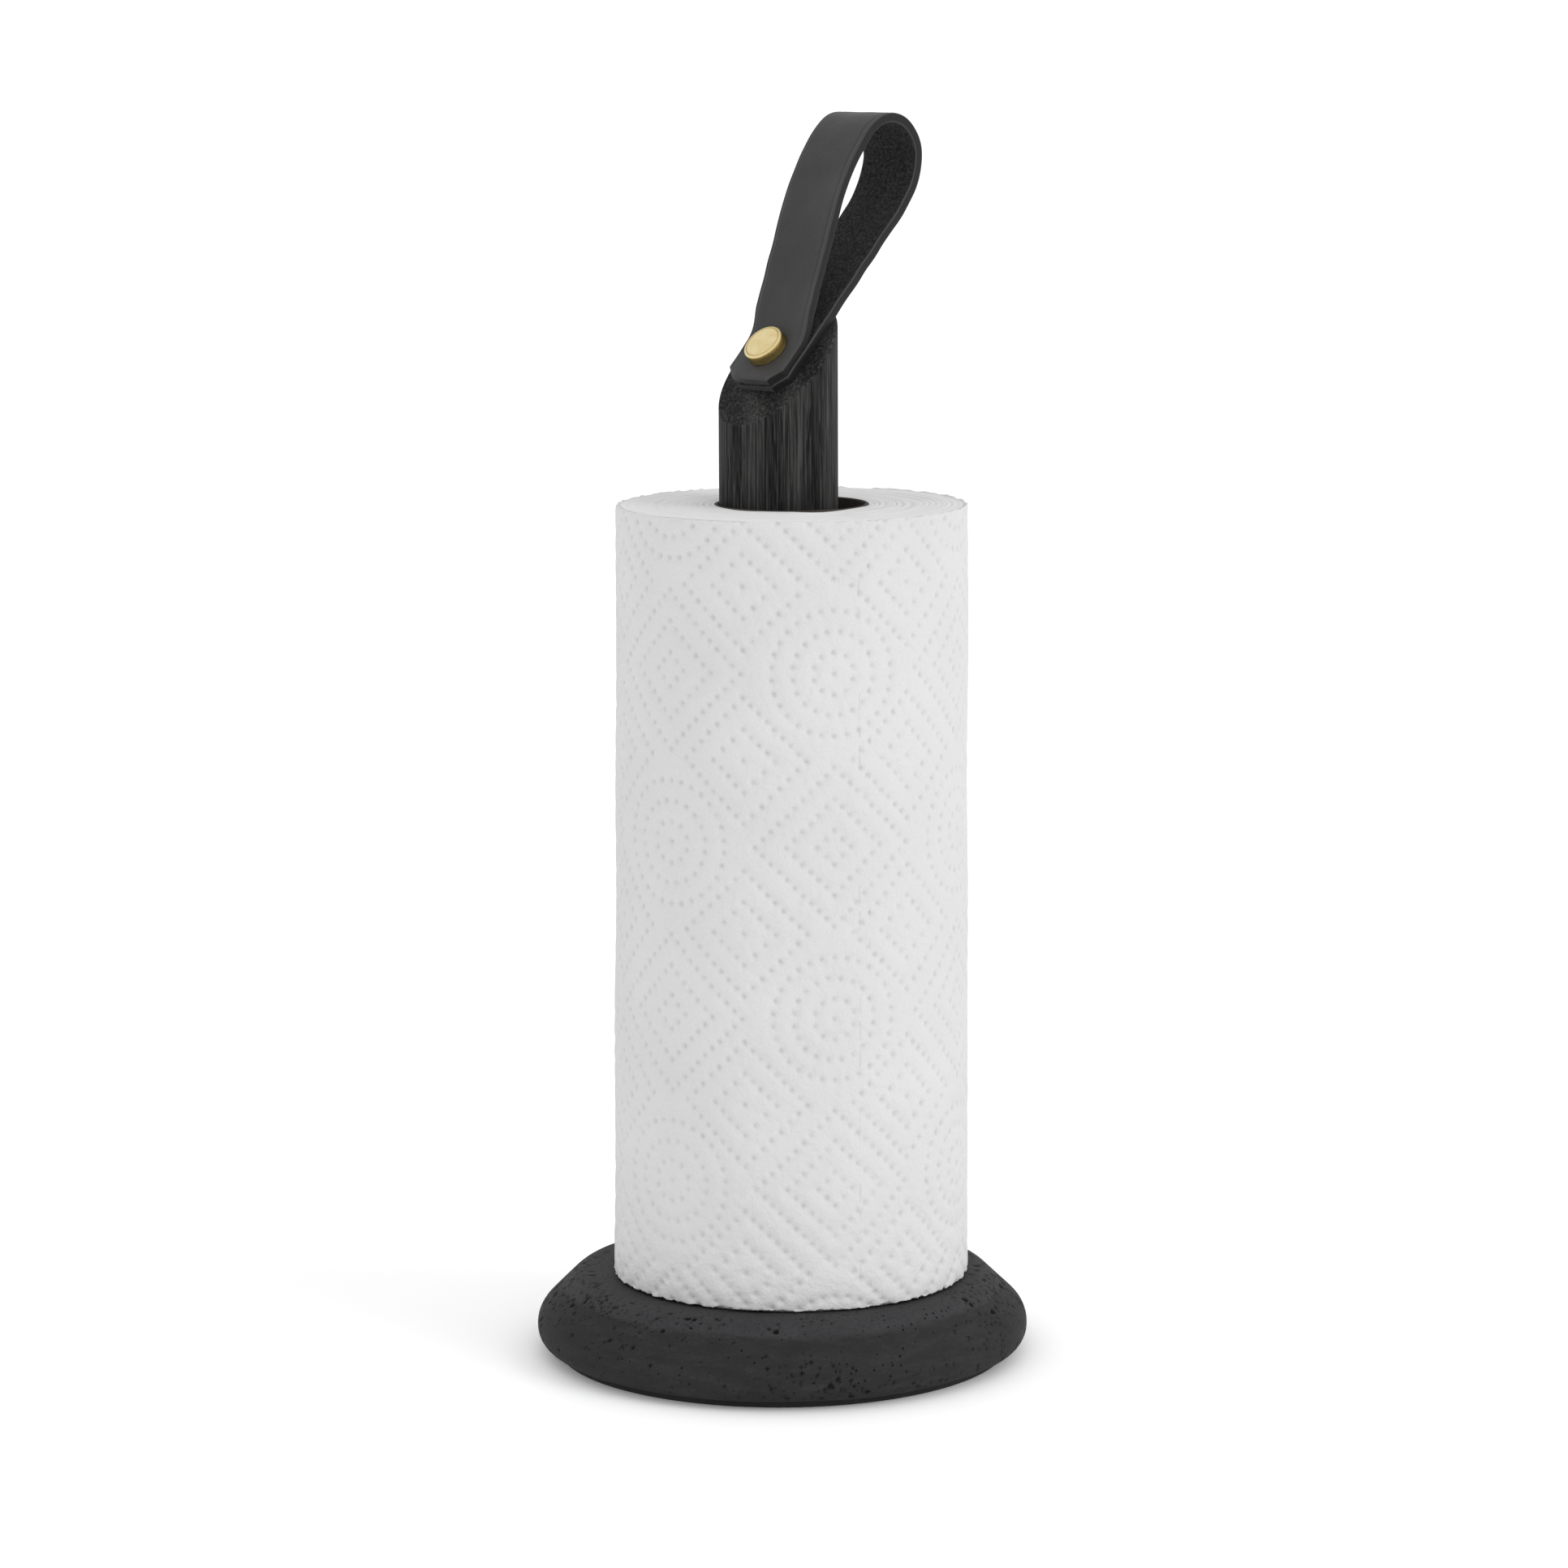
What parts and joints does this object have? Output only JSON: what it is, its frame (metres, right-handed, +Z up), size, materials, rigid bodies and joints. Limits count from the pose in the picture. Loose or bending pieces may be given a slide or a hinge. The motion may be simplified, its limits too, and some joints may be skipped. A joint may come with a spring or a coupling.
{
  "type": "paper towel holder",
  "caption": "Freestanding paper towel holder: round bevelled concrete base, slant-cut dark wood post, leather carrying loop on a brass stud, with a roll of embossed paper.",
  "frame": {"origin": "middle of the underside of the foot pad, on the surface that the holder stands on", "axes": "+Z up along the post; the slanted cut of the post faces -Y and the leather loop leans over +Y; the loop's width runs along X"},
  "size_m": [0.1466, 0.1466, 0.3663],
  "materials": {
    "pad_rubber": "matt black foam rubber sheet",
    "concrete": "cast concrete, dyed anthracite, matt, with small air holes",
    "zinc_steel": "zinc plated steel",
    "stained_oak": "black stained oak, open grain, matt",
    "black_leather": "smooth black vegetable tanned leather, satin",
    "stud_brass": "brushed brass",
    "screw_steel": "zinc plated steel",
    "core_board": "spiral wound grey-brown board",
    "towel_paper": "soft embossed tissue"
  },
  "bodies": {
    "holder": {"base_pad": "pad_rubber", "base": "concrete", "base_washer": "zinc_steel", "spring_washer": "zinc_steel", "base_bolt": "zinc_steel", "post_insert": "zinc_steel", "post": "stained_oak", "stud_cap": "stud_brass", "stud_screw": "screw_steel"},
    "loop": {"strap": "black_leather"},
    "roll_core": {"core": "core_board"},
    "roll_paper": {"paper": "towel_paper"}
  },
  "joints": [
    {"name": "loop_swivel", "type": "hinge", "parent": "holder", "child": "loop", "pos_m": [0, 0, 0.29455], "axis": [0, -0.7071, 0.7071], "range_deg": [-20, 20]},
    {"name": "roll_lift", "type": "slide", "parent": "holder", "child": "roll_core", "axis": [0, 0, 1], "range_m": [0, 0.355], "deforming": ["strap"]},
    {"name": "roll_spin", "type": "hinge", "parent": "roll_core", "child": "roll_paper", "pos_m": [0.00269, 0.00269, 0.02355], "axis": [0, 0, 1], "continuous": true}
  ]
}
